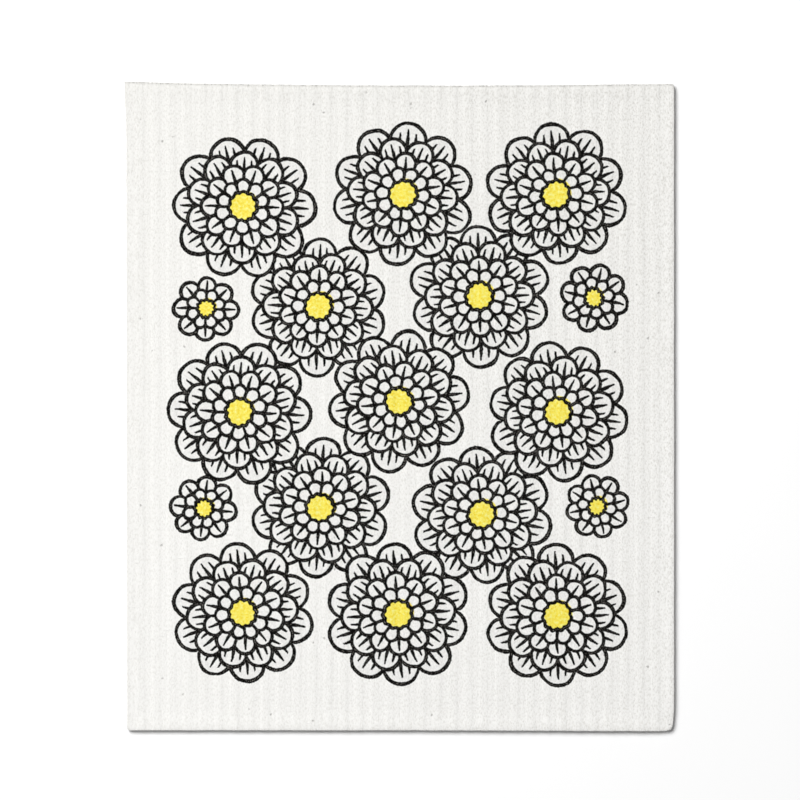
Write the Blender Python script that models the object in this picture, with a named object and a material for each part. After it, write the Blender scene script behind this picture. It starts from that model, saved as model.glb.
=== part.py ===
# A washcloth: one sheet of ribbed sponge cloth, cut to a rectangle and printed on its upper face.
# It lies flat, with its width along X, its length along Y and the origin under its middle.
# Lengths are in metres.

import math

import bmesh
import bpy

OBJECT_NAME = "washcloth"

# The cut sheet
CLOTH_WIDTH = 0.1695
CLOTH_LENGTH = 0.2000
CREST_HEIGHT = 0.0018  # from the table to the top of a full rib

# The ribs run along the length, in sets of three: two full ones and a low one.
RIB_PITCH = 0.00161
RIBS_IN_SET = 3
GROOVE_WIDTH = 0.0008
SHALLOW_GROOVE_DEPTH = 0.00008  # between the two full ribs of a set
DEEP_GROOVE_DEPTH = 0.00016  # on both sides of the low rib
LOW_RIB_DROP = 0.00011

# Each rib swells and thins a little along its length, out of step with the next one.
SWELL_HEIGHT = 0.00005
SWELL_LENGTH = 0.063
SWELL_SHIFT = 2.4  # radians from one rib to the next

# The blade pressed the sheet thinner along its cut edges.
PRESSED_BAND = 0.0024
PRESSED_DEPTH = 0.0004

# The cut isn't quite true: the far edge dips in its middle, and the left edge leans in.
FAR_EDGE_DIP = 0.0008
LEFT_EDGE_LEAN = 0.0003

# Corner radii seen from above, each by its side in X and in Y
CORNER_RADII = {
    (-1, 1): 0.0003,
    (1, 1): 0.0015,
    (-1, -1): 0.0012,
    (1, -1): 0.0024,
}

# How closely the sheet's face is divided along Y
ROW_SPACING = 0.0200
EDGE_ROWS = 3  # rows of faces in the zone of the corners and of the pressed band
SHARP_ANGLE = math.radians(80)  # the cut edge stays sharp, the ribs are shaded smooth

# The print: large rosettes of overlapping scales in rows of three, with rows of two between them
# and a small rosette at both ends of each row of two
ROSETTE_SPACING_X = 0.0490
ROSETTE_SPACING_Y = 0.0640
ROSETTE_RINGS = (0.0222, 0.0176, 0.0130, 0.0086)  # how far each ring of scales reaches
SCALES_IN_RING = 10
ROSETTE_CENTRE_RADIUS = 0.0043
SMALL_SPACING_X = 0.1210
SMALL_RINGS = (0.0104, 0.0065)
SMALL_SCALES_IN_RING = 8
SMALL_CENTRE_RADIUS = 0.0029
LINE_WIDTH = 0.0012

CLOTH_COLOUR = (0.888, 0.875, 0.838, 1.0)
INK_COLOUR = (0.017, 0.015, 0.013, 1.0)
CENTRE_COLOUR = (0.930, 0.790, 0.117, 1.0)
CLOTH_ROUGHNESS = 0.92


def smooth_step(share):
    share = min(max(share, 0.0), 1.0)
    return share * share * (3.0 - 2.0 * share)


def rib_drop(rib):
    """How far the crest of one rib lies below that of a full rib."""
    return LOW_RIB_DROP if rib % RIBS_IN_SET == RIBS_IN_SET - 1 else 0.0


def column_places():
    """Places across the width, each with its drop below a full crest and its rib's number."""
    half_width = CLOTH_WIDTH / 2
    shoulder = GROOVE_WIDTH / 2
    last = math.floor((half_width - GROOVE_WIDTH) / RIB_PITCH)
    places = [(-half_width, rib_drop(-last - 1), -last - 1)]
    for groove in range(-last, last + 1):
        x = groove * RIB_PITCH
        shallow = 0 < groove % RIBS_IN_SET < RIBS_IN_SET - 1
        depth = SHALLOW_GROOVE_DEPTH if shallow else DEEP_GROOVE_DEPTH
        places.append((x - shoulder, rib_drop(groove - 1), groove - 1))
        places.append((x, depth, groove))
        places.append((x + shoulder, rib_drop(groove), groove))
    places.append((half_width, rib_drop(last), last))
    return places


def row_places():
    """Places along the length, closer together near both cut ends."""
    half_length = CLOTH_LENGTH / 2
    edge_zone = max(PRESSED_BAND, *CORNER_RADII.values())
    edge = [edge_zone * number / EDGE_ROWS for number in range(EDGE_ROWS)]
    inner_half = half_length - edge_zone
    inner_rows = max(1, round(2 * inner_half / ROW_SPACING))
    inner = [inner_half * (2 * number / inner_rows - 1) for number in range(inner_rows + 1)]
    near = [-half_length + place for place in edge]
    far = [half_length - place for place in reversed(edge)]
    return near + inner + far


def rounded(x, y):
    """The same place once the corner near it is rounded off."""
    side_x = 1 if x > 0 else -1
    side_y = 1 if y > 0 else -1
    radius = CORNER_RADII[side_x, side_y]
    start_x = CLOTH_WIDTH / 2 - radius
    start_y = CLOTH_LENGTH / 2 - radius
    across = (abs(x) - start_x) / radius
    along = (abs(y) - start_y) / radius
    if across <= 0 or along <= 0:
        return x, y
    new_across = across * math.sqrt(1 - along * along / 2)
    new_along = along * math.sqrt(1 - across * across / 2)
    return side_x * (start_x + radius * new_across), side_y * (start_y + radius * new_along)


def true_cut(x, y):
    """The same place on the sheet as the blade really cut it."""
    across = x / (CLOTH_WIDTH / 2)
    along = (y / (CLOTH_LENGTH / 2) + 1) / 2
    dip = FAR_EDGE_DIP * (1 - across * across) * along
    lean = LEFT_EDGE_LEAN * (1 - along) * (1 - across) / 2
    return x + lean, y - dip


def face_point(x, y, drop, rib):
    """Where the upper face runs at one place of the sheet."""
    edge_gap = min(CLOTH_WIDTH / 2 - abs(x), CLOTH_LENGTH / 2 - abs(y))
    pressed = PRESSED_DEPTH * (1 - smooth_step(edge_gap / PRESSED_BAND))
    swell = SWELL_HEIGHT * math.sin(math.tau * y / SWELL_LENGTH + SWELL_SHIFT * rib)
    height = CREST_HEIGHT - SWELL_HEIGHT - drop + swell - pressed
    return (*true_cut(*rounded(x, y)), height)


def cloth_mesh():
    """The ribbed upper face, walled down to a flat underside."""
    columns = column_places()
    rows = row_places()
    sheet = bmesh.new()
    bmesh.ops.create_grid(
        sheet, x_segments=len(columns) - 1, y_segments=len(rows) - 1, size=1.0
    )
    for index, vertex in enumerate(sheet.verts):
        row, column = divmod(index, len(columns))
        x, drop, rib = columns[column]
        vertex.co = face_point(x, rows[row], drop, rib)
    made = bmesh.ops.extrude_face_region(sheet, geom=sheet.faces[:])
    for item in made["geom"]:
        if isinstance(item, bmesh.types.BMVert):
            item.co.z = 0.0
    bmesh.ops.recalc_face_normals(sheet, faces=sheet.faces[:])
    mesh = bpy.data.meshes.new(OBJECT_NAME)
    sheet.to_mesh(mesh)
    sheet.free()
    mesh.shade_smooth()
    mesh.set_sharp_from_angle(angle=SHARP_ANGLE)
    return mesh


def math_maker(tree):
    """A function that adds one Math node to the tree and gives back its result."""

    def maths(operation, *values):
        node = tree.nodes.new("ShaderNodeMath")
        node.operation = operation
        for socket, value in zip(node.inputs, values):
            if isinstance(value, bpy.types.NodeSocket):
                tree.links.new(value, socket)
            else:
                socket.default_value = value
        return node.outputs[0]

    return maths


def from_nearest(maths, place, spacing, count):
    """How far a place lies from the nearest rosette's middle, along one axis."""
    shift = 0.0 if count % 2 else 0.5
    cell = maths("ROUND", maths("SUBTRACT", maths("DIVIDE", place, spacing), shift))
    cell = maths("MAXIMUM", cell, -(count // 2))
    cell = maths("MINIMUM", cell, (count - 1) // 2)
    middle = maths("MULTIPLY", maths("ADD", cell, shift), spacing)
    return maths("SUBTRACT", place, middle)


def distance_from(maths, x, y):
    squares = maths("ADD", maths("MULTIPLY", x, x), maths("MULTIPLY", y, y))
    return maths("SQRT", squares)


def scale_ring(maths, radius, angle, reach, scales):
    """The outlines of one ring of round-ended scales, and the space within the ring."""
    sector = math.tau / scales
    border_slope = math.tan(sector / 2)
    end_distance = reach / (1 + border_slope)
    end_radius = reach - end_distance
    folded = maths("WRAP", angle, sector / 2, -sector / 2)
    along = maths("MULTIPLY", radius, maths("COSINE", folded))
    across = maths("MULTIPLY", radius, maths("SINE", folded))
    from_end = distance_from(maths, maths("SUBTRACT", along, end_distance), across)
    inner = maths("LESS_THAN", along, end_distance)
    outer = maths("SUBTRACT", 1.0, inner)
    end_line = maths("COMPARE", from_end, end_radius, LINE_WIDTH / 2)
    border = maths("MULTIPLY", along, border_slope)
    side_line = maths("COMPARE", maths("ABSOLUTE", across), border, LINE_WIDTH / 2)
    line = maths("ADD", maths("MULTIPLY", end_line, outer), maths("MULTIPLY", side_line, inner))
    within = maths("MAXIMUM", inner, maths("LESS_THAN", from_end, end_radius))
    return line, within


def rosette(maths, x, y, rings, scales, centre_radius):
    """Where a rosette prints ink, where it prints its centre, and where it hides what is behind."""
    radius = distance_from(maths, x, y)
    angle = maths("ARCTAN2", y, x)
    half_sector = math.pi / scales
    ink = hides = None
    for number, reach in enumerate(rings):
        turned = maths("ADD", angle, half_sector * (number % 2))
        line, within = scale_ring(maths, radius, turned, reach, scales)
        if ink is None:
            ink, hides = line, within
        else:
            ink = maths("MAXIMUM", line, maths("MULTIPLY", ink, maths("SUBTRACT", 1.0, within)))
    centre = maths("LESS_THAN", radius, centre_radius)
    ring = maths("COMPARE", radius, centre_radius, LINE_WIDTH / 2)
    ink = maths("MAXIMUM", ring, maths("MULTIPLY", ink, maths("SUBTRACT", 1.0, centre)))
    return ink, centre, hides


def colour_mix(tree, share, first, second):
    """A colour that goes from the first to the second as share goes from 0 to 1."""
    node = tree.nodes.new("ShaderNodeMix")
    node.data_type = "RGBA"
    sockets = {socket.identifier: socket for socket in node.inputs}
    tree.links.new(share, sockets["Factor_Float"])
    for name, colour in (("A_Color", first), ("B_Color", second)):
        if isinstance(colour, bpy.types.NodeSocket):
            tree.links.new(colour, sockets[name])
        else:
            sockets[name].default_value = colour
    return next(out for out in node.outputs if out.identifier == "Result_Color")


def cloth_material():
    """Undyed cloth, with the rosettes printed in black line around yellow centres."""
    material = bpy.data.materials.new("printed_sponge_cloth")
    material.use_nodes = True
    material.diffuse_color = CLOTH_COLOUR
    tree = material.node_tree
    surface = tree.nodes["Principled BSDF"]
    surface.inputs["Roughness"].default_value = CLOTH_ROUGHNESS
    surface.inputs["Metallic"].default_value = 0.0
    place = tree.nodes.new("ShaderNodeSeparateXYZ")
    tree.links.new(tree.nodes.new("ShaderNodeTexCoord").outputs["Object"], place.inputs[0])
    x, y, z = place.outputs
    maths = math_maker(tree)
    printed_side = maths("GREATER_THAN", z, CREST_HEIGHT / 2)
    large = (ROSETTE_RINGS, SCALES_IN_RING, ROSETTE_CENTRE_RADIUS)
    small = (SMALL_RINGS, SMALL_SCALES_IN_RING, SMALL_CENTRE_RADIUS)
    layers = (
        (2, ROSETTE_SPACING_X, large),
        (3, ROSETTE_SPACING_X, large),
        (2, SMALL_SPACING_X, small),
    )
    colour = CLOTH_COLOUR
    for count, spacing_x, shape in layers:
        from_x = from_nearest(maths, x, spacing_x, count)
        from_y = from_nearest(maths, y, ROSETTE_SPACING_Y, count)
        ink, centre, hides = rosette(maths, from_x, from_y, *shape)
        colour = colour_mix(tree, hides, colour, CLOTH_COLOUR)
        colour = colour_mix(tree, maths("MULTIPLY", centre, printed_side), colour, CENTRE_COLOUR)
        colour = colour_mix(tree, maths("MULTIPLY", ink, printed_side), colour, INK_COLOUR)
    tree.links.new(colour, surface.inputs["Base Color"])
    return material


def main():
    for old in list(bpy.data.objects):
        bpy.data.objects.remove(old)
    collection = bpy.data.collections.new(OBJECT_NAME)
    bpy.context.scene.collection.children.link(collection)
    mesh = cloth_mesh()
    mesh.materials.append(cloth_material())
    cloth = bpy.data.objects.new(OBJECT_NAME, mesh)
    collection.objects.link(cloth)


main()
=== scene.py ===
import math

import bpy
import numpy as np
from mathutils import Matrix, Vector


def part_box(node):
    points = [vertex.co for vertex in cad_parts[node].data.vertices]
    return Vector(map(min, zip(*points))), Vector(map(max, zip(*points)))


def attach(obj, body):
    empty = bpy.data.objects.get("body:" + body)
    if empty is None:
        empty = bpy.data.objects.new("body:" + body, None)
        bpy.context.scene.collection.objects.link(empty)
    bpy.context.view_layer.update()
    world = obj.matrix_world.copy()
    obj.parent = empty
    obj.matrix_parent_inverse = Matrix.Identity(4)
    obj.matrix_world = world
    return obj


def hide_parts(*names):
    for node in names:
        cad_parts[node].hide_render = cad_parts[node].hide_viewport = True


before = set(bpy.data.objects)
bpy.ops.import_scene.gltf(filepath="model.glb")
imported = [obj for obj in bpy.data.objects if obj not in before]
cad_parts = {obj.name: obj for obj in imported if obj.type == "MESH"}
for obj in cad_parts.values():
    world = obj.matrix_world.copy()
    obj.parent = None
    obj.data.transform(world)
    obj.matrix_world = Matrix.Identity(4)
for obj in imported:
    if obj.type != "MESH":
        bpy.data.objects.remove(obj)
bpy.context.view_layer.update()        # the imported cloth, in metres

millimetre = 0.001
boxLow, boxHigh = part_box("washcloth")
halfWidth = (boxHigh.x - boxLow.x) / 2 / millimetre
halfLength = round((boxHigh.y - boxLow.y) / 2 / millimetre, 1)
crestHeight = boxHigh.z / millimetre

# sizes in millimetres, x across the ribs, y along them, z up
clothShape = {
    "ribPitch": 1.61,
    "ribsInSet": 3,          # two full ribs and a low one
    "grooveWidth": 0.8,
    "shallowGroove": 0.028,  # between the two full ribs
    "deepGroove": 0.043,     # beside the low rib
    "lowRib": 0.092,
    "deeperRight": 0.08,     # the ribs are fainter on the left by this share, and stronger on the right
    "swell": 0.015,          # each rib thickens and thins along its length
    "swellLength": 63.0,
    "swellShift": 2.4,
    "wander": 0.10,          # how far a rib strays sideways
    "wanderStep": (9.0, 24.0),
    "wanderGap": (0.6, 3.6),  # from the cut: no straying up to the first, all of it from the second
    "grooveBreaks": 0.35,    # share by which a groove gets shallower and deeper
    "grooveBreakLength": 4.2,
    "grooveApart": 7.3,      # how far apart in the noise two grooves are, so that each breaks elsewhere
    "unevenness": 0.02,
    "unevenStep": (1.3, 1.6),
    "pressedBand": 2.0,      # thinner along the cut
    "pressedDepth": 0.10,
    "farEdgeDip": 0.8,
    "farEdgeRise": 0.5,      # towards the left, as the cut isn't quite square
    "nearEdgeDrop": 0.25,    # towards the right
    "leftEdgeLean": 0.3,
    # how far each corner was pulled as it was cut, and from how far away
    "cornerPulls": {(-1, 1): (-0.55, 0.15, 16.0), (1, -1): (-0.45, 0.1, 8.0)},
    "cornerRadii": {(-1, 1): 0.3, (1, 1): 1.5, (-1, -1): 1.2, (1, -1): 2.4},
    "rimWidth": 0.75,
    "cutInset": 0.28,        # the cut edge is rounded over this width
    "cutRoundHeight": 0.4,
    "cutAngles": (25, 50, 72, 90),  # degrees round the edge, with a ring of points at each
    "wallFoot": 0.25,        # share of the height where the wall turns in towards the foot
    "footInset": 0.35,
    "cutWave": 0.04,
    "cutWaveLength": 5.0,
    "farRimShade": 1.0,          # painted shade on the rim of the far edge, and of the left one: a darker line along them
    "leftRimShade": 0.5,
    "edgeLift": 0.32,        # how far the cut edges stand off the table
    "edgeLiftChange": 0.15,
    "edgeLiftStep": (34.0, 41.0),
    "edgeLiftBand": 9.0,
    "cornerLift": -0.22,     # the near right corner lies closer to it
    "cornerLiftReach": 14.0,
    "cornerCrease": 0.07,    # and has a fold across its tip
    "cornerCreasePlace": 3.4,
    "cornerCreaseWidth": 0.5,
    "rows": 180,
    "rowsCloser": 0.10,      # share by which they are closer together at the two ends
    "backCell": 4.4,
    "backRim": 1.0,
    # what each kind of chance starts from
    "seeds": {"grooveBreaks": 3, "unevenness": 5, "wander": 7, "cutWave": 9, "edgeLift": 11},
}


def smoothStep(value, start=0.0, end=1.0):
    share = np.clip((value - start) / (end - start), 0, 1)
    return share * share * (3 - 2 * share)


def softNoise(kind, x, y, stepX, stepY):
    # smooth random hills, one to a step, from -1 to 1
    count = 256
    table = np.random.default_rng(clothShape["seeds"][kind]).uniform(-1, 1, (count, count))
    u, v = np.broadcast_arrays(x / stepX, y / stepY)
    column, row = np.floor(u).astype(int), np.floor(v).astype(int)
    shareU, shareV = smoothStep(u - column), smoothStep(v - row)
    column, nextColumn = column % count, (column + 1) % count
    row, nextRow = row % count, (row + 1) % count
    near = table[row, column] * (1 - shareU) + table[row, nextColumn] * shareU
    far = table[nextRow, column] * (1 - shareU) + table[nextRow, nextColumn] * shareU
    return near * (1 - shareV) + far * shareV


def edgeGap(x, y):
    return np.minimum(halfWidth - np.abs(x), halfLength - np.abs(y))


def ribHeights(x, y):
    shape = clothShape
    along = x / shape["ribPitch"]
    groove, rib = np.round(along), np.floor(along)
    lowRib = shape["lowRib"] * (0.5 + 0.5 * np.cos(math.tau * (along + 0.5) / shape["ribsInSet"]))
    inSet = groove % shape["ribsInSet"]
    shallow = (inSet > 0) & (inSet < shape["ribsInSet"] - 1)
    depth = np.where(shallow, shape["shallowGroove"], shape["deepGroove"])
    breaks = softNoise("grooveBreaks", groove * shape["grooveApart"], y, 1.0, shape["grooveBreakLength"])
    depth = depth * (1 + shape["grooveBreaks"] * breaks)
    fromGroove = np.abs(along - groove) * shape["ribPitch"]
    inGroove = np.clip(1 - fromGroove / (shape["grooveWidth"] / 2), 0, 1)
    deeper = 1 + shape["deeperRight"] * x / halfWidth
    swell = shape["swell"] * (np.sin(math.tau * y / shape["swellLength"] + shape["swellShift"] * rib) - 1)
    uneven = shape["unevenness"] * softNoise("unevenness", x, y, *shape["unevenStep"])
    return crestHeight + swell + uneven - deeper * (lowRib + depth * inGroove)


def liftHeights(x, y):
    # how far the cloth stands off the table at its edges, less so at the near right corner
    shape = clothShape
    change = softNoise("edgeLift", x, y, *shape["edgeLiftStep"]) - 1
    edge = shape["edgeLift"] * (1 + shape["edgeLiftChange"] * change)
    edge = edge * (1 - smoothStep(edgeGap(x, y), 0, shape["edgeLiftBand"])) ** 2
    toCorner = np.hypot(x - halfWidth, y + halfLength)
    corner = shape["cornerLift"] * (1 - smoothStep(toCorner, 0, shape["cornerLiftReach"])) ** 2
    fromCrease = halfWidth - x + halfLength + y - shape["cornerCreasePlace"]
    crease = shape["cornerCrease"] * np.exp(-(fromCrease / shape["cornerCreaseWidth"]) ** 2)
    return edge + corner + crease


def cutOutline(x, y):
    # rounds each corner, then leans and dips the edges as the blade left them
    shape = clothShape
    newX, newY = np.array(x, float), np.array(y, float)
    for (sideX, sideY), radius in shape["cornerRadii"].items():
        startX, startY = halfWidth - radius, halfLength - radius
        across, along = (sideX * x - startX) / radius, (sideY * y - startY) / radius
        within = (across > 0) & (along > 0)
        across, along = np.clip(across, 0, 1), np.clip(along, 0, 1)
        roundX = sideX * (startX + radius * across * np.sqrt(1 - along * along / 2))
        roundY = sideY * (startY + radius * along * np.sqrt(1 - across * across / 2))
        newX, newY = np.where(within, roundX, newX), np.where(within, roundY, newY)
    right, far = x / halfWidth, (y / halfLength + 1) / 2
    farEdge = shape["farEdgeRise"] * (1 - right) / 2 - shape["farEdgeDip"] * (1 - right * right)
    nearEdge = -shape["nearEdgeDrop"] * smoothStep(right)
    newX = newX + shape["leftEdgeLean"] * (1 - far) * (1 - right) / 2
    newY = newY + farEdge * far + nearEdge * (1 - far)
    for (sideX, sideY), (pullX, pullY, reach) in shape["cornerPulls"].items():
        pull = 1 - smoothStep(np.hypot(x - sideX * halfWidth, y - sideY * halfLength), 0, reach)
        newX, newY = newX + pullX * pull, newY + pullY * pull
    return newX, newY


def columnPlaces():
    # groove, shoulder, crest and shoulder of every rib, then the two ends
    shape = clothShape
    half, rim, pitch = halfWidth - shape["cutInset"], shape["rimWidth"], shape["ribPitch"]
    shoulder = shape["grooveWidth"] / 2
    last = math.floor((half - rim - shape["grooveWidth"]) / pitch)
    places = [-half, rim - half]
    for groove in range(-last, last + 1):
        middle = groove * pitch
        if groove > -last:
            places.append(middle - pitch / 2)
        places += [middle - shoulder, middle, middle + shoulder]
    return np.array(places + [half - rim, half])


def rowPlaces():
    # a little closer together at both cut ends
    half, rim = halfLength - clothShape["cutInset"], clothShape["rimWidth"]
    share = np.linspace(-1, 1, clothShape["rows"] + 1)
    places = half * (share + clothShape["rowsCloser"] * np.sin(np.pi * share) / np.pi)
    return np.concatenate([[-half, rim - half], places[1:-1], [half - rim, half]])


def aroundGrid(rows, columns, first=0):
    # the rim of a grid of points, anticlockwise from its near left corner, with each point's place on
    # it: a whole number at each corner, up to 4 for the four sides
    near = [(0, column) for column in range(columns)]
    right = [(row, columns - 1) for row in range(1, rows)]
    far = [(rows - 1, column) for column in range(columns - 2, -1, -1)]
    left = [(row, 0) for row in range(rows - 2, 0, -1)]
    loop = np.array([first + row * columns + column for row, column in near + right + far + left])
    sides = (columns - 1, rows - 1, columns - 1, rows - 1)
    places = np.concatenate([side + np.arange(count) / count for side, count in enumerate(sides)])
    return loop, places


def gridFaces(rows, columns, first=0, flipped=False):
    row, column = np.meshgrid(np.arange(rows - 1), np.arange(columns - 1), indexing="ij")
    corner = (first + row * columns + column).ravel()
    faces = np.stack([corner, corner + 1, corner + columns + 1, corner + columns], 1)
    return faces[:, ::-1] if flipped else faces


def outwardAt(points):
    # the mitred outward direction at each point of an anticlockwise loop
    ahead, behind = np.roll(points, -1, 0) - points, points - np.roll(points, 1, 0)
    normals = []
    for run in (behind, ahead):
        run = run / np.linalg.norm(run, axis=1, keepdims=True)
        normals.append(np.stack([run[:, 1], -run[:, 0]], 1))
    facing = (normals[0] * normals[1]).sum(1, keepdims=True)
    return (normals[0] + normals[1]) / (1 + np.clip(facing, 0, 1))


def zipLoops(outer, outerPlaces, inner, innerPlaces):
    # triangles between two loops with unlike numbers of points
    outerPlaces, innerPlaces = np.append(outerPlaces, 4.0), np.append(innerPlaces, 4.0)
    faces, i, j = [], 0, 0
    while i < len(outer) or j < len(inner):
        here, across = outer[i % len(outer)], inner[j % len(inner)]
        if j == len(inner) or (i < len(outer) and outerPlaces[i + 1] <= innerPlaces[j + 1]):
            i += 1
            faces.append((here, across, outer[i % len(outer)]))
        else:
            j += 1
            faces.append((here, across, inner[j % len(inner)]))
    return np.array(faces)


def clothFace():
    # the ribbed upper face, in rows of points
    shape = clothShape
    columns, rows = columnPlaces(), rowPlaces()
    x, y = np.meshgrid(columns, rows)
    gap = edgeGap(x, y)
    pressed = shape["pressedDepth"] * (1 - smoothStep(gap, 0, shape["pressedBand"]))
    heights = ribHeights(x, y) - pressed + liftHeights(x, y)
    stray = shape["wander"] * softNoise("wander", x, y, *shape["wanderStep"])
    faceX, faceY = cutOutline(x, y)
    faceX = faceX + stray * smoothStep(gap, *shape["wanderGap"])
    return np.stack([faceX, faceY, heights], 2).reshape(-1, 3), len(rows), len(columns)


def roundSteps():
    # how far out and down from the face each ring round the edge lies
    shape = clothShape
    turns = [math.radians(angle) for angle in shape["cutAngles"]]
    inset, height = shape["cutInset"], shape["cutRoundHeight"]
    return [(inset * math.sin(turn), height * (1 - math.cos(turn))) for turn in turns]


def cutRings(rim, outward):
    # the cut edge, in rings of points from the face down to the foot
    shape = clothShape
    lift = liftHeights(rim[:, 0], rim[:, 1])
    steps = [(out, rim[:, 2] - down) for out, down in roundSteps()]
    steps.append((shape["cutInset"], lift + shape["wallFoot"] * (rim[:, 2] - lift)))
    steps.append((shape["cutInset"] - shape["footInset"], lift))
    wave = softNoise("cutWave", rim[:, 0], rim[:, 1], shape["cutWaveLength"], shape["cutWaveLength"])
    outward = outward * (1 + shape["cutWave"] / shape["cutInset"] * wave)[:, None]
    return [np.column_stack([rim[:, :2] + outward * out, height]) for out, height in steps]


def clothBack():
    # the flat underside, in larger cells
    inset = clothShape["cutInset"] + clothShape["backRim"]
    columns, rows = (round(2 * half / clothShape["backCell"]) + 1 for half in (halfWidth, halfLength))
    x, y = np.meshgrid(
        np.linspace(-1, 1, columns) * (halfWidth - inset), np.linspace(-1, 1, rows) * (halfLength - inset)
    )
    backX, backY = cutOutline(x, y)
    return np.stack([backX, backY, liftHeights(x, y)], 2).reshape(-1, 3), rows, columns


def bakePlaces(points, faceCount, rim, outward):
    # one map to bake into: the face with its edge folded out, and a narrow strip for the back
    gap = 0.005                  # share of the map that stays free along its sides
    wallEnd, footEnd = 1.5, 1.9  # millimetres out from the face's rim, with the edge folded out
    folded = [out + down for out, down in roundSteps()] + [wallEnd, footEnd]
    spread = [points[:faceCount, :2]] + [rim[:, :2] + outward * length for length in folded]
    spread = np.concatenate(spread)
    scale = (0.5 - gap) / (halfLength + footEnd)
    mapUpper = np.column_stack(
        [gap + (spread[:, 0] + halfWidth + footEnd) * scale, 0.5 + spread[:, 1] * scale]
    )
    stripStart = 3 * gap + 2 * (halfWidth + footEnd) * scale
    stripScale = (1 - 2 * gap - stripStart) / (2 * halfWidth)
    mapLower = np.column_stack(
        [stripStart + (halfWidth - points[:, 0]) * stripScale, 0.5 + points[:, 1] * scale]
    )
    return mapUpper, mapLower


def rimPaintedShade(outward):
    # painted shade on each point of the rim, from the side that it mostly faces: a darker line along the
    # far and left edges
    mostly = 0.5
    facingFar, facingLeft = outward[:, 1] > mostly, outward[:, 0] < -mostly
    return np.select([facingFar, facingLeft], [clothShape["farRimShade"], clothShape["leftRimShade"]], 0.0)


def makeCloth():
    face, rows, columns = clothFace()
    loop, places = aroundGrid(rows, columns)
    rim = face[loop]
    outward = outwardAt(rim[:, :2])
    rings = cutRings(rim, outward)
    back, backRows, backColumns = clothBack()
    points = np.concatenate([face, *rings, back])

    ringLoops = [loop] + [len(face) + n * len(loop) + np.arange(len(loop)) for n in range(len(rings))]
    upper = [gridFaces(rows, columns)]
    for above, below in zip(ringLoops, ringLoops[1:]):
        upper.append(np.stack([above, below, np.roll(below, -1), np.roll(above, -1)], 1))
    upper = np.concatenate(upper)
    backFirst = len(points) - len(back)
    backLoop, backAlong = aroundGrid(backRows, backColumns, backFirst)
    lowerSquares = gridFaces(backRows, backColumns, backFirst, flipped=True)
    lowerTriangles = zipLoops(ringLoops[-1], places, backLoop, backAlong)

    mesh = bpy.data.meshes.new("clothSheet")
    faces = upper.tolist() + lowerSquares.tolist() + lowerTriangles.tolist()
    mesh.from_pydata((points * millimetre).tolist(), [], faces)
    mapUpper, mapLower = bakePlaces(points, len(face), rim, outward)
    corners = [mapUpper[upper], mapLower[lowerSquares], mapLower[lowerTriangles]]
    corners = np.concatenate([part.reshape(-1, 2) for part in corners])
    bakeMap = mesh.uv_layers.new(name="OFBake", do_init=False)
    bakeMap.uv.foreach_set("vector", corners.astype(np.float32).ravel())

    rimShade = rimPaintedShade(outward)
    onEdge = np.zeros(len(points), np.float32)
    # the cut wall greyer down towards the table, and painted shade on the far and left rims
    for number, ringLoop in enumerate(ringLoops):
        onEdge[ringLoop] = np.maximum(rimShade, number / len(rings))
    cutGreyAndRimShade = mesh.attributes.new("cutGreyAndRimShade", "FLOAT", "POINT")
    cutGreyAndRimShade.data.foreach_set("value", onEdge)
    mesh.shade_smooth()
    mesh.validate()
    return addObject("clothSheet", mesh)


def addObject(name, data):
    item = bpy.data.objects.new(name, data)
    bpy.context.scene.collection.objects.link(item)
    return item


# node helpers: the first three add a node and feed its sockets, the others give back its outputs

def addNode(tree, kind, **settings):
    node = tree.nodes.new("ShaderNode" + kind)
    for name, value in settings.items():
        setattr(node, name, value)
    return node


def feed(tree, socket, value):
    if isinstance(value, bpy.types.NodeSocket):
        tree.links.new(value, socket)
    else:
        socket.default_value = value


def feedNamed(tree, node, values):
    for name, value in values.items():
        feed(tree, node.inputs[name], value)


def calc(tree, operation, *values, kind="Math"):
    node = addNode(tree, kind, operation=operation)
    for socket, value in zip(node.inputs, values):
        feed(tree, socket, value)
    return node.outputs[0]


def vectorCalc(tree, operation, *values):
    return calc(tree, operation, *values, kind="VectorMath")


def splitVector(tree, vector):
    node = addNode(tree, "SeparateXYZ")
    feed(tree, node.inputs[0], vector)
    return node.outputs


def ramp(tree, value, start, end, low=0.0, high=1.0):
    node = addNode(tree, "MapRange", interpolation_type="SMOOTHSTEP", clamp=True)
    feedNamed(tree, node, {"Value": value, "From Min": start, "From Max": end})
    feedNamed(tree, node, {"To Min": low, "To Max": high})
    return node.outputs["Result"]


def mixColour(tree, share, first, second, blend="MIX"):
    node = addNode(tree, "Mix", data_type="RGBA", blend_type=blend)
    sockets = {socket.identifier: socket for socket in node.inputs}
    feed(tree, sockets["Factor_Float"], share)
    feed(tree, sockets["A_Color"], first)
    feed(tree, sockets["B_Color"], second)
    return next(out for out in node.outputs if out.identifier == "Result_Color")


def noise(tree, place, scale=1.0, stretch=(1.0, 1.0, 1.0), detail=2.0, roughness=0.5):
    node = addNode(tree, "TexNoise")
    feed(tree, node.inputs["Vector"], vectorCalc(tree, "MULTIPLY", place, stretch))
    feedNamed(tree, node, {"Scale": scale, "Detail": detail, "Roughness": roughness})
    return node.outputs


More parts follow.
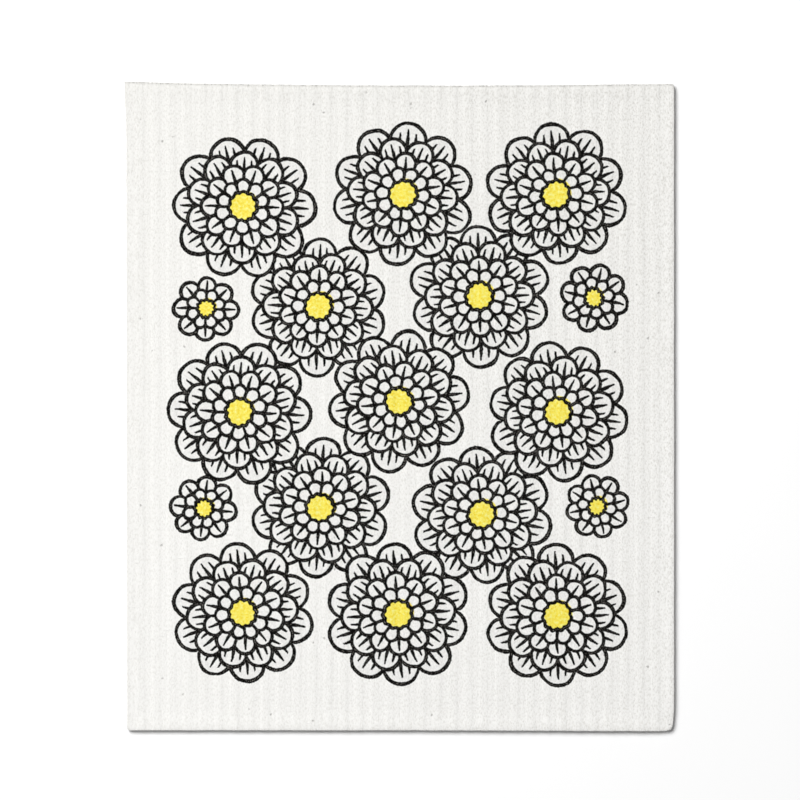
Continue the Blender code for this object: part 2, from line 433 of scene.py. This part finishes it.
# sizes in millimetres, and each noise has its scale in waves to a millimetre
printDesign = {
    # one row for each set of rosettes: how many, how far apart, and the reach of their rings of scales
    "sets": [
        {"count": (2, 2), "spacing": (49.0, 64.0), "rings": (22.2, 17.6, 13.0, 8.6), "scales": 10,
         "veins": (3, 3, 1, 0), "centre": 4.3, "jitter": (0.9, 2.5), "seed": 3.7},
        {"count": (3, 3), "spacing": (49.0, 64.0), "rings": (22.2, 17.6, 13.0, 8.6), "scales": 10,
         "veins": (3, 3, 1, 0), "centre": 4.3, "jitter": (0.9, 2.5), "seed": 8.2},
        {"count": (2, 2), "spacing": (121.0, 64.0), "rings": (10.4, 6.5), "scales": 8,
         "veins": (1, 0), "centre": 2.9, "jitter": (0.8, 2.0), "seed": 5.1},
    ],
    "sizeMost": 1.03,        # the largest rosette's share of those sizes
    "sizeChange": 0.08,      # and how much less the smallest one's is
    "scaleChange": 0.05,     # no two scales of a ring reach equally far
    "line": 1.2,
    "innerLine": 0.85,       # share of it in the innermost ring
    "lineChange": 0.35,      # the pen presses harder and softer
    "press": {"scale": 0.22, "detail": 1.0},
    "veinStem": 1.11,        # a vein's width, and its width at the tip
    "veinTip": 0.51,
    "veinTaper": 3.0,        # it narrows over this length
    "veinGap": 2.4,
    "veinEnd": 0.085,        # share of the reach by which it stops short of the scale's end
    "veinSlant": 0.5,        # outer veins are shorter
    "centreBumps": 11,
    "centreBumpHeight": 0.22,
    "wobble": 1.1,           # the drawn line strays by this much
    "wobbleNoise": {"scale": 0.15, "detail": 1.0},
    "ragged": 0.26,          # ink creeps along the fibres
    "raggedNoise": {"scale": 2.2, "stretch": (1.0, 0.7, 1.0), "roughness": 0.6},
    "edge": 0.13,
    "printedAbove": 0.95,    # height from which the cloth is printed, so its underside isn't
    "yellowShift": (0.45, 0.4),  # the yellow screen sits a little off
    "yellowGrow": 0.2,
    "yellow": (0.955, 0.83, 0.125, 1.0),
    "yellowDeep": (0.90, 0.69, 0.045, 1.0),
    "yellowPale": (0.97, 0.92, 0.320, 1.0),
    "blotches": {"scale": 1.15, "roughness": 0.6},
    "deepBlotches": (0.30, 0.52),  # deep yellow below the first value of that noise, none from the second
    "paleBlotches": (0.52, 0.68),  # and pale yellow from here on
    "stain": (0.04, 0.44),   # least and most of the faint stain inside a rosette
    "stainRange": (0.35, 0.65),
    "stainColour": (0.70, 0.70, 0.69, 1.0),
    "ink": (0.0016, 0.0014, 0.0011, 1.0),
    "inkWorn": (0.250, 0.235, 0.215, 1.0),
    "wornNoise": {"scale": 2.7, "stretch": (1.0, 0.8, 1.0), "detail": 1.0, "roughness": 0.6},
    "wornRange": (0.46, 0.66),
    "wornDepth": (0.20, 0.90),  # in from a line's rim, which stays black
}


def lengthOf(tree, x, y):
    return calc(tree, "SQRT", calc(tree, "MULTIPLY_ADD", x, x, calc(tree, "MULTIPLY", y, y)))


def fromNearest(tree, place, spacing, count):
    # which rosette of a row is nearest, and how far its middle is
    shift = 0.0 if count % 2 else 0.5
    cell = calc(tree, "ROUND", calc(tree, "MULTIPLY_ADD", place, 1 / spacing, -shift))
    cell = calc(tree, "MAXIMUM", cell, -(count // 2))
    cell = calc(tree, "MINIMUM", cell, (count - 1) // 2)
    middle = calc(tree, "MULTIPLY", calc(tree, "ADD", cell, shift), spacing)
    return cell, calc(tree, "SUBTRACT", place, middle)


def chances(tree, first, second, third):
    # three numbers from 0 to 1 that belong to these three
    seed = addNode(tree, "CombineXYZ")
    for socket, value in zip(seed.inputs, (first, second, third)):
        feed(tree, socket, value)
    dice = addNode(tree, "TexWhiteNoise", noise_dimensions="3D")
    feed(tree, dice.inputs["Vector"], seed.outputs[0])
    return splitVector(tree, dice.outputs["Color"])


def veinLines(tree, along, across, reach, veins):
    # signed distance to the veins of a scale, below zero on one
    design = printDesign
    gap = design["veinGap"]
    past = calc(tree, "MULTIPLY_ADD", across, design["veinSlant"], along)
    past = calc(tree, "ADD", past, design["veinEnd"] * reach - reach)
    beside = calc(tree, "SUBTRACT", across, veins / 2 * gap)
    taper = (design["veinStem"] - design["veinTip"]) / 2 / design["veinTaper"]
    fromStem = calc(tree, "MAXIMUM", past, -design["veinTaper"])
    thin = calc(tree, "MULTIPLY_ADD", fromStem, taper, -design["veinTip"] / 2)
    nearest = calc(tree, "ADD", calc(tree, "PINGPONG", across, gap / 2), thin)
    return calc(tree, "MAXIMUM", nearest, calc(tree, "MAXIMUM", past, beside))


def scaleRing(tree, radius, angle, reach, scales, veins, halfLine, seed):
    # signed distances, below zero on a line and inside the ring
    shortest = 1 - printDesign["scaleChange"]
    sector = math.tau / scales
    slope = math.tan(sector / 2)
    folded = calc(tree, "WRAP", angle, sector / 2, -sector / 2)
    which = calc(tree, "WRAP", calc(tree, "ROUND", calc(tree, "DIVIDE", angle, sector)), scales, 0)
    chance = chances(tree, which, seed, reach)[0]
    radius = calc(tree, "DIVIDE", radius, calc(tree, "MULTIPLY_ADD", chance, 1 - shortest, shortest))
    endDistance = reach / (1 + slope)
    endRadius = reach - endDistance
    along = calc(tree, "MULTIPLY", radius, calc(tree, "COSINE", folded))
    across = calc(tree, "ABSOLUTE", calc(tree, "MULTIPLY", radius, calc(tree, "SINE", folded)))
    beyond = calc(tree, "SUBTRACT", along, endDistance)
    fromEnd = calc(tree, "SUBTRACT", lengthOf(tree, beyond, across), endRadius)
    inside = calc(tree, "MINIMUM", fromEnd, beyond)
    endLine = calc(tree, "MAXIMUM", calc(tree, "ABSOLUTE", fromEnd), calc(tree, "MULTIPLY", beyond, -1))
    side = calc(tree, "SUBTRACT", calc(tree, "MULTIPLY", along, slope), across)
    sideLine = calc(tree, "MAXIMUM", calc(tree, "MULTIPLY", side, math.cos(sector / 2)), inside)
    line = calc(tree, "SUBTRACT", calc(tree, "MINIMUM", endLine, sideLine), halfLine)
    if veins:
        line = calc(tree, "MINIMUM", line, veinLines(tree, along, across, reach, veins))
    return line, inside


def rosette(tree, x, y, rosettes, cellX, cellY, press):
    # signed distances to the ink, the yellow and the whole rosette, below zero within each
    design = printDesign
    size, turn, seed = chances(tree, cellX, cellY, rosettes["seed"])
    moveX, moveY, _ = chances(tree, cellX, cellY, rosettes["seed"] + 10)
    jitterX, jitterY = rosettes["jitter"]
    x = calc(tree, "ADD", x, calc(tree, "MULTIPLY_ADD", moveX, 2 * jitterX, -jitterX))
    y = calc(tree, "ADD", y, calc(tree, "MULTIPLY_ADD", moveY, 2 * jitterY, -jitterY))
    change = design["sizeChange"]
    size = calc(tree, "MULTIPLY_ADD", size, change, design["sizeMost"] - change)
    radius = calc(tree, "DIVIDE", lengthOf(tree, x, y), size)
    angle = calc(tree, "ADD", calc(tree, "ARCTAN2", y, x), calc(tree, "MULTIPLY", turn, math.tau))
    halfLine = calc(tree, "MULTIPLY", press, design["line"] / 2)

    ink = outline = None
    last = len(rosettes["rings"]) - 1
    for number, (reach, veins) in enumerate(zip(rosettes["rings"], rosettes["veins"])):
        turned = calc(tree, "ADD", angle, number * math.pi / rosettes["scales"])
        thinner = calc(tree, "MULTIPLY", halfLine, 1 + (design["innerLine"] - 1) * number / last)
        line, inside = scaleRing(tree, radius, turned, reach, rosettes["scales"], veins, thinner, seed)
        if ink is None:
            ink, outline = line, inside
        else:
            ink = calc(tree, "MAXIMUM", ink, calc(tree, "MULTIPLY", inside, -1))
            ink = calc(tree, "MINIMUM", ink, line)

    bumps = calc(tree, "SINE", calc(tree, "MULTIPLY", angle, design["centreBumps"]))
    edge = calc(tree, "MULTIPLY_ADD", bumps, design["centreBumpHeight"], rosettes["centre"])
    fromCentre = calc(tree, "SUBTRACT", radius, edge)
    ink = calc(tree, "MAXIMUM", ink, calc(tree, "MULTIPLY", fromCentre, -1))
    centreLine = calc(tree, "SUBTRACT", calc(tree, "ABSOLUTE", fromCentre), halfLine)
    ink = calc(tree, "MINIMUM", ink, centreLine)
    shiftedX = calc(tree, "SUBTRACT", x, design["yellowShift"][0])
    shiftedY = calc(tree, "SUBTRACT", y, design["yellowShift"][1])
    reach = rosettes["centre"] + design["yellowGrow"]
    yellow = calc(tree, "SUBTRACT", lengthOf(tree, shiftedX, shiftedY), reach)
    return ink, yellow, outline


def yellowInk(tree, place):
    design = printDesign
    blotches = noise(tree, place, **design["blotches"])["Fac"]
    plain = ramp(tree, blotches, *design["deepBlotches"])
    pale = ramp(tree, blotches, *design["paleBlotches"])
    colour = mixColour(tree, plain, design["yellowDeep"], design["yellow"])
    return mixColour(tree, pale, colour, design["yellowPale"])


def addPrint(tree, place, colour):
    # the cloth's colour with the print on it
    design = printDesign
    wobble = design["wobble"]
    bend = noise(tree, place, **design["wobbleNoise"])["Color"]
    bend = vectorCalc(tree, "MULTIPLY_ADD", bend, (wobble,) * 3, (-wobble / 2,) * 3)
    drawn = splitVector(tree, vectorCalc(tree, "ADD", place, bend))
    printed = calc(tree, "GREATER_THAN", splitVector(tree, place)[2], design["printedAbove"])
    fibres = noise(tree, place, **design["raggedNoise"])["Fac"]
    creep = calc(tree, "MULTIPLY_ADD", fibres, 2 * design["ragged"], -design["ragged"])
    press = noise(tree, place, **design["press"])["Fac"]
    press = calc(tree, "MULTIPLY_ADD", press, 2 * design["lineChange"], 1 - design["lineChange"])
    stain = ramp(tree, fibres, *design["stainRange"], *design["stain"])
    stained = mixColour(tree, stain, colour, design["stainColour"])
    worn = ramp(tree, noise(tree, place, **design["wornNoise"])["Fac"], *design["wornRange"])
    yellowColour = yellowInk(tree, place)
    for rosettes in design["sets"]:
        (spacingX, spacingY), (countX, countY) = rosettes["spacing"], rosettes["count"]
        cellX, x = fromNearest(tree, drawn[0], spacingX, countX)
        cellY, y = fromNearest(tree, drawn[1], spacingY, countY)
        ink, yellow, outline = rosette(tree, x, y, rosettes, cellX, cellY, press)
        wornHere = ramp(tree, ink, *(-depth for depth in design["wornDepth"]))
        wornHere = calc(tree, "MULTIPLY", worn, wornHere)
        inkColour = mixColour(tree, wornHere, design["ink"], design["inkWorn"])
        within = calc(tree, "MULTIPLY", calc(tree, "LESS_THAN", outline, 0.0), printed)
        colour = mixColour(tree, within, colour, stained)
        for distance, layer in ((yellow, yellowColour), (ink, inkColour)):
            share = ramp(tree, calc(tree, "ADD", distance, creep), design["edge"], -design["edge"])
            colour = mixColour(tree, calc(tree, "MULTIPLY", share, printed), colour, layer)
    return colour


# a range gives the values of a noise between which its mark comes in
clothFinish = {
    "ground": (0.930, 0.922, 0.893, 1.0),
    "groundDark": (0.735, 0.725, 0.685, 1.0),
    "groundLight": (0.985, 0.978, 0.955, 1.0),
    # grey of the cut edge, also the tone of the painted shade along the far and left rims
    "cutGreyAndRimShade": (0.68, 0.67, 0.64, 1.0),
    # painted shade inside pinholes and pores
    "paintedHoleShade": (0.30, 0.29, 0.27, 1.0),
    "roughness": 0.95,
    "specular": 0.04,
    "sheen": 0.02,
    "sheenRoughness": 0.6,
    "farEndPaintedShade": (0.945, 0.943, 0.936, 1.0),  # painted shade: the far end is this much darker
    "grain": {"scale": 2.35, "stretch": (1.0, 0.50, 1.0), "roughness": 0.6},
    "grainRange": (0.24, 0.60),
    "grainAndPaintedShadeAcross": (0.56, 0.92),  # at the left edge and at the right one: the grain's speckle, made stronger towards the right as painted shading of its relief where the light grazes
    "grainAlong": (0.86, 1.06),  # share of it at the near end and at the far one
    "fibre": {"stretch": (2.6, 1.1, 1.0), "roughness": 0.6},
    "fibreRange": (0.25, 0.75),
    "fibreShade": (0.5, 1.0),    # share of the cut edge's colour between and on the fibres
    "cloud": {"stretch": (0.14, 0.06, 1.0), "roughness": 0.6},
    "cloudRange": (0.45, 0.80),
    "cloudShade": 0.10,
    "crease": {"stretch": (0.30, 1.9, 1.0), "detail": 0.0},
    "creaseRange": (0.77, 0.86),
    "creaseShade": 0.3,
    "pitScale": 0.30,            # places for a pinhole to a millimetre
    "pitChosen": (0.86, 0.92),   # only the few that draw a number past these have one
    "pitSize": (0.15, 0.05),     # from its middle to its rim, and to where it is deepest
    "pitRagged": 0.16,
    "pitShade": 0.55,
    "pores": {"scale": 2.1, "stretch": (1.0, 1.0, 1.6), "detail": 1.0},  # open ones in the cut edge, with painted shade inside
    "poreRange": (0.54, 0.66),
    "poreDepth": (0.4, 1.0),     # how far round the edge they start, and are full
    "poreShade": 0.45,
    "reliefStrength": 1.0,
    "reliefDepth": 0.10,         # millimetres
    "relief": {"fibre": 0.5, "crease": 0.5, "pits": -1.2, "pores": -1.5},  # beside the grain's
}


def pinholes(tree, place, grain):
    # where pinholes lie, which get painted shade inside
    finish = clothFinish
    cells = addNode(tree, "TexVoronoi", feature="F1")
    feedNamed(tree, cells, {"Vector": place, "Scale": finish["pitScale"]})
    toPit = calc(tree, "MULTIPLY_ADD", grain, finish["pitRagged"], cells.outputs["Distance"])
    pits = ramp(tree, toPit, *(size + finish["pitRagged"] / 2 for size in finish["pitSize"]))
    chosen = ramp(tree, splitVector(tree, cells.outputs["Color"])[0], *finish["pitChosen"])
    return calc(tree, "MULTIPLY", pits, chosen)


def clothMarks(tree, place):
    # how strong each kind of mark is, at every place of the cloth
    finish = clothFinish
    kinds = ("grain", "fibre", "cloud", "crease")
    marks = {kind: noise(tree, place, **finish[kind])["Fac"] for kind in kinds}
    marks["crease"] = ramp(tree, marks["crease"], *finish["creaseRange"])
    marks["pits"] = pinholes(tree, place, marks["grain"])
    # the cut edge's grey, and the painted shade along the far and left rims
    marks["edge"] = addNode(tree, "Attribute", attribute_name="cutGreyAndRimShade").outputs["Fac"]
    pores = ramp(tree, noise(tree, place, **finish["pores"])["Fac"], *finish["poreRange"])
    marks["pores"] = calc(tree, "MULTIPLY", pores, ramp(tree, marks["edge"], *finish["poreDepth"]))
    return marks


def clothColour(tree, place, marks):
    # the cloth before it is printed
    finish = clothFinish
    acrossCloth, alongCloth, _ = splitVector(tree, place)
    speckled = ramp(tree, marks["grain"], *finish["grainRange"])
    speckled = mixColour(tree, speckled, finish["groundDark"], finish["groundLight"])
    # the speckle grows stronger to the right, partly as painted shading of the grain's relief
    grainAndShadeShare = ramp(tree, acrossCloth, -halfWidth, halfWidth, *finish["grainAndPaintedShadeAcross"])
    alongShare = ramp(tree, alongCloth, -halfLength, halfLength, *finish["grainAlong"])
    colour = mixColour(tree, calc(tree, "MULTIPLY", grainAndShadeShare, alongShare), finish["ground"], speckled)
    # painted shade, darker towards the far end
    paintedFalloff = ramp(tree, alongCloth, -halfLength, halfLength)
    colour = mixColour(tree, paintedFalloff, colour, finish["farEndPaintedShade"], "MULTIPLY")
    clouded = ramp(tree, marks["cloud"], *finish["cloudRange"], 0.0, finish["cloudShade"])
    colour = mixColour(tree, clouded, colour, finish["groundDark"])
    edge = ramp(tree, marks["fibre"], *finish["fibreRange"], *finish["fibreShade"])
    layers = [
        (marks["crease"], finish["creaseShade"], finish["groundLight"]),
        # painted shade inside the pinholes
        (marks["pits"], finish["pitShade"], finish["paintedHoleShade"]),
        # the cut edge's grey, with painted shade on the far and left rims
        (marks["edge"], edge, finish["cutGreyAndRimShade"]),
        # painted shade inside the pores
        (marks["pores"], finish["poreShade"], finish["paintedHoleShade"]),
    ]
    for mark, shade, tone in layers:
        colour = mixColour(tree, calc(tree, "MULTIPLY", mark, shade), colour, tone)
    return colour


def addRelief(tree, marks):
    # relief too fine for the mesh
    finish = clothFinish
    height = marks["grain"]
    for kind, share in finish["relief"].items():
        height = calc(tree, "MULTIPLY_ADD", marks[kind], share, height)
    bump = addNode(tree, "Bump")
    distance = finish["reliefDepth"] * millimetre
    feedNamed(tree, bump, {"Strength": finish["reliefStrength"], "Distance": distance, "Height": height})
    return bump.outputs[0]


def makeClothMaterial():
    material = bpy.data.materials.new("printedSpongeCloth")
    material.use_nodes = True
    tree = material.node_tree
    place = addNode(tree, "TexCoord").outputs["Object"]
    place = vectorCalc(tree, "MULTIPLY", place, (1 / millimetre,) * 3)
    marks = clothMarks(tree, place)
    colour = clothColour(tree, place, marks)
    feedNamed(tree, tree.nodes["Principled BSDF"], {
        "Base Color": addPrint(tree, place, colour),
        "Roughness": clothFinish["roughness"],
        "Specular IOR Level": clothFinish["specular"],
        "Sheen Weight": clothFinish["sheen"],
        "Sheen Roughness": clothFinish["sheenRoughness"],
        "Normal": addRelief(tree, marks),
    })
    return material


stageSetup = {
    "floorSize": 12.0,
    "floorDrop": 0.02,       # millimetres between it and the cloth's underside
    "floorSeen": 1.085,      # how light the floor is as the camera sees it
    "floorBounce": 0.85,     # and as it lights the cloth
    "nearRadius": 0.16,      # beyond this the floor fades to plain white
    "farRadius": 0.42,
    "ambient": 0.19,
    # share of the light level, distance in metres, direction seen from above, height, and width in metres
    "lamps": {
        "windowLamp": {"share": 0.735, "distance": 2.8, "azimuth": 130, "elevation": 52, "size": 1.7},
        "nearLamp": {"share": 0.07, "distance": 0.35, "azimuth": 180, "elevation": 50, "size": 0.2},
    },
}


def makeFloor():
    # one colour where the camera sees it, and another for the light that it throws on the cloth
    setup = stageSetup
    drop = setup["floorDrop"] * millimetre
    bpy.ops.mesh.primitive_plane_add(size=setup["floorSize"], location=(0, 0, -drop))
    floor = bpy.context.object
    floor.name = "floor"
    material = bpy.data.materials.new("whiteTable")
    material.use_nodes = True
    tree = material.node_tree
    tree.nodes.clear()
    path = addNode(tree, "LightPath").outputs
    seen = calc(tree, "MAXIMUM", path["Is Camera Ray"], path["Is Glossy Ray"])
    seen = calc(tree, "MAXIMUM", seen, path["Is Transmission Ray"])
    away = addNode(tree, "VectorMath", operation="LENGTH")
    feed(tree, away.inputs[0], addNode(tree, "TexCoord").outputs["Object"])
    fade = ramp(tree, away.outputs["Value"], setup["nearRadius"], setup["farRadius"])
    bounceColour, seenColour = ((setup[name],) * 3 + (1.0,) for name in ("floorBounce", "floorSeen"))
    diffuse = addNode(tree, "BsdfDiffuse")
    feed(tree, diffuse.inputs["Color"], mixColour(tree, seen, bounceColour, seenColour))
    white = addNode(tree, "Emission")
    mixed = addNode(tree, "MixShader")
    parts = (calc(tree, "MULTIPLY", fade, seen), diffuse.outputs[0], white.outputs[0])
    for socket, value in zip(mixed.inputs, parts):
        feed(tree, socket, value)
    feed(tree, addNode(tree, "OutputMaterial").inputs["Surface"], mixed.outputs[0])
    floor.data.materials.append(material)
    return floor


def makeLamp(name, lamp):
    turn, rise = math.radians(lamp["azimuth"]), math.radians(lamp["elevation"])
    data = bpy.data.lights.new(name, "AREA")
    data.shape = "DISK"
    data.size = lamp["size"]
    reach = lamp["distance"] ** 2 + (lamp["size"] / 2) ** 2  # so that its share holds at the cloth
    data.energy = lamp["share"] * math.pi ** 2 * reach / math.sin(rise)
    towards = Vector((math.cos(turn) * math.cos(rise), math.sin(turn) * math.cos(rise), math.sin(rise)))
    holder = addObject(name, data)
    holder.location = towards * lamp["distance"]
    holder.rotation_euler = towards.to_track_quat("Z", "Y").to_euler()
    holder.visible_camera = False


def makeWorld():
    # a room that looks white, and lights the cloth by the ambient share only
    world = bpy.data.worlds.new("softRoom")
    bpy.context.scene.world = world
    world.use_nodes = True
    tree = world.node_tree
    background = tree.nodes["Background"]
    background.inputs["Color"].default_value = (1, 1, 1, 1)
    path = addNode(tree, "LightPath").outputs
    seen = calc(tree, "MAXIMUM", path["Is Camera Ray"], path["Is Transmission Ray"])
    feed(tree, background.inputs["Strength"], ramp(tree, seen, 0.0, 1.0, stageSetup["ambient"], 1.0))


cameraSetup = {
    "height": 1.5,
    "frameWidth": 247.55,    # millimetres of table across the picture
    "aim": (-0.07, 2.20),    # where it looks, in millimetres from the cloth's middle
    "sensor": 36,
}


def makeCamera():
    setup = cameraSetup
    data = bpy.data.cameras.new("topCamera")
    data.sensor_width = setup["sensor"]
    data.lens = setup["sensor"] * setup["height"] / (setup["frameWidth"] * millimetre)
    camera = addObject("topCamera", data)
    camera.location = (setup["aim"][0] * millimetre, setup["aim"][1] * millimetre, setup["height"])
    bpy.context.scene.camera = camera


makeCamera()
for name, lamp in stageSetup["lamps"].items():
    makeLamp(name, lamp)
makeWorld()
floor = makeFloor()
print("stage, lamps and camera ready")

cloth = makeCloth()
print("cloth made:", len(cloth.data.polygons), "faces")
cloth.data.materials.append(makeClothMaterial())
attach(cloth, "root")
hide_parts("washcloth")
print("cloth printed and laid on the floor")

bpy.context.scene.view_settings.view_transform = "Standard"
